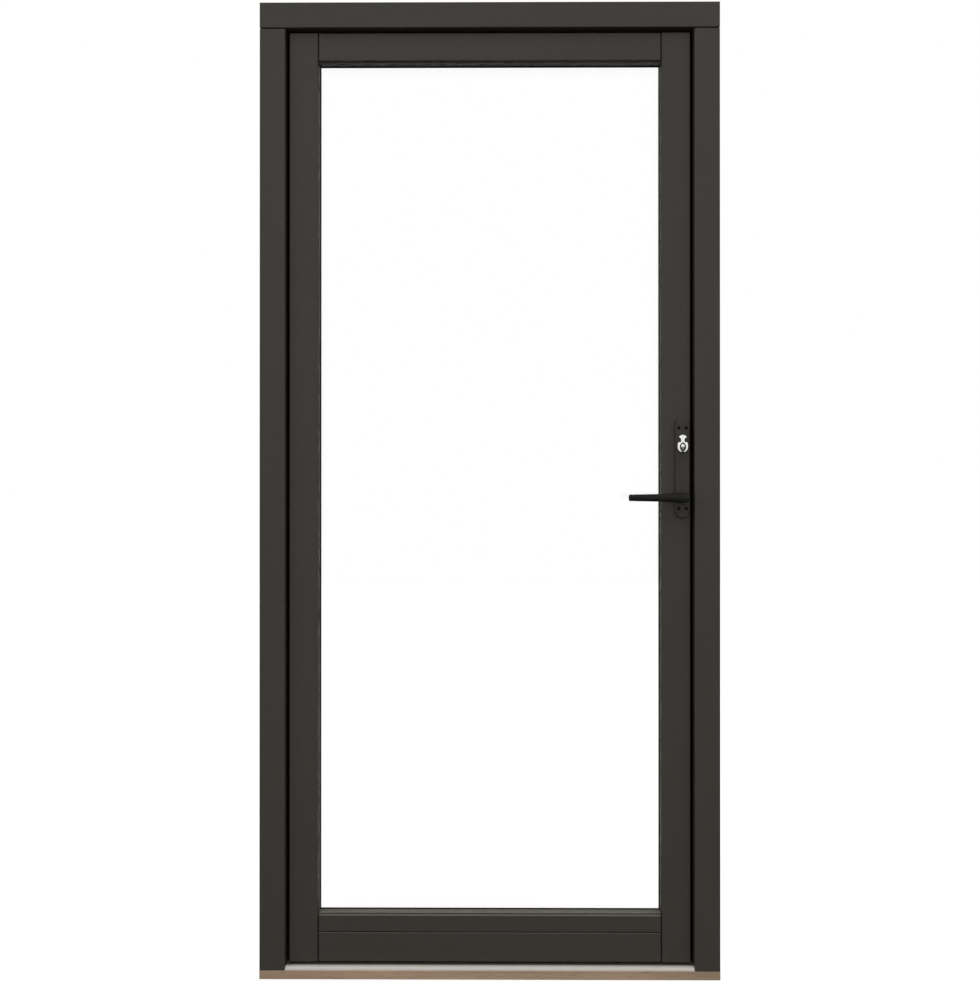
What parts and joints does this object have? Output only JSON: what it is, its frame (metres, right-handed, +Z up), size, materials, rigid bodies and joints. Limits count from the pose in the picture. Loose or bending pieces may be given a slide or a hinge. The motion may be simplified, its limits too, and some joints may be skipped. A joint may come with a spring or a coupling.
{
  "type": "glazed terrace door with frame",
  "caption": "Outward-opening glazed terrace door in a dark painted timber frame, with a lever on a long plate, a thumbturn, lift-off hinges and a hardwood threshold with an aluminium strip.",
  "frame": {"origin": "middle of the threshold's underside, halfway through the frame's depth", "axes": "+X to the lock side, +Y from the room to the outside, +Z up"},
  "size_m": [0.98, 0.193, 2.08],
  "materials": {
    "painted_wood": "satin dark grey-brown paint",
    "hardwood": "oiled hardwood",
    "dowel_wood": "bare beech",
    "aluminium": "satin anodised",
    "zinc_steel": "zinc plated",
    "plate_paint": "matte powder coat",
    "black_metal": "matte black",
    "chrome": "polished",
    "glass": "clear",
    "spacer": "matte dark",
    "rubber": "matte black",
    "block_plastic": "matte"
  },
  "bodies": {
    "frame": {"frame_head": "painted_wood", "hinge_jamb": "painted_wood", "lock_jamb": "painted_wood", "threshold": "hardwood", "sill_plate": "aluminium", "head_keeper": "zinc_steel", "lock_keeper": "zinc_steel", "keeper_screws": "zinc_steel", "corner_screws": "zinc_steel", "fixing_sleeves": "zinc_steel", "hinge_frame_1": "zinc_steel", "hinge_frame_2": "zinc_steel", "hinge_frame_3": "zinc_steel", "hinge_pins": "zinc_steel", "hinge_washers": "zinc_steel", "hinge_frame_screws": "zinc_steel"},
    "leaf": {"hinge_stile": "painted_wood", "lock_stile": "painted_wood", "top_rail": "painted_wood", "bottom_rail": "painted_wood", "kick_rail": "painted_wood", "leaf_dowels": "dowel_wood", "pane_inner": "glass", "pane_middle": "glass", "pane_outer": "glass", "glass_spacers": "spacer", "glazing_seals": "rubber", "bead_left": "painted_wood", "bead_right": "painted_wood", "bead_top": "painted_wood", "bead_bottom": "painted_wood", "setting_blocks": "block_plastic", "gasket_left": "rubber", "gasket_right": "rubber", "gasket_top": "rubber", "gasket_bottom": "rubber", "drip_bar": "aluminium", "hinge_leaf_1": "zinc_steel", "hinge_leaf_2": "zinc_steel", "hinge_leaf_3": "zinc_steel", "hinge_leaf_screws": "zinc_steel", "lock_case": "zinc_steel", "faceplate": "zinc_steel", "faceplate_screws": "zinc_steel", "plate_inside": "plate_paint", "plate_outside": "plate_paint", "plate_screws": "black_metal", "pull_outside": "black_metal", "key_cylinder": "zinc_steel"},
    "lever_set": {"lever_inside": "black_metal", "spindle": "zinc_steel", "follower": "zinc_steel"},
    "upper_rod": {"upper_rod": "zinc_steel"},
    "lower_rod": {"lower_rod": "zinc_steel"},
    "thumbturn_set": {"thumbturn": "chrome", "tailpiece": "zinc_steel", "key_plug": "chrome"},
    "deadbolt": {"deadbolt": "zinc_steel"}
  },
  "joints": [
    {"name": "leaf_swing", "type": "hinge", "parent": "frame", "child": "leaf", "pos_m": [-0.452, 0.0605, 1.04], "axis": [0, 0, 1], "range_deg": [0, 110]},
    {"name": "lever_turn", "type": "hinge", "parent": "leaf", "child": "lever_set", "pos_m": [0.411, 0.0025, 1.025], "axis": [0, -1, 0], "range_deg": [0, 90]},
    {"name": "upper_rod_slide", "type": "slide", "parent": "leaf", "child": "upper_rod", "axis": [0, 0, 1], "range_m": [0, 0.014]},
    {"name": "lower_rod_slide", "type": "slide", "parent": "leaf", "child": "lower_rod", "axis": [0, 0, -1], "range_m": [0, 0.014]},
    {"name": "thumbturn_turn", "type": "hinge", "parent": "leaf", "child": "thumbturn_set", "pos_m": [0.411, 0.0025, 1.132], "axis": [0, -1, 0], "range_deg": [0, 90]},
    {"name": "deadbolt_slide", "type": "slide", "parent": "leaf", "child": "deadbolt", "axis": [1, 0, 0], "range_m": [0, 0.014]}
  ],
  "couplings": [
    {"joint": "upper_rod_slide", "follows": "lever_turn", "m_per_rad": 0.008912},
    {"joint": "lower_rod_slide", "follows": "lever_turn", "m_per_rad": 0.008912},
    {"joint": "thumbturn_turn", "follows": "deadbolt_slide", "rad_per_m": 112.2}
  ]
}
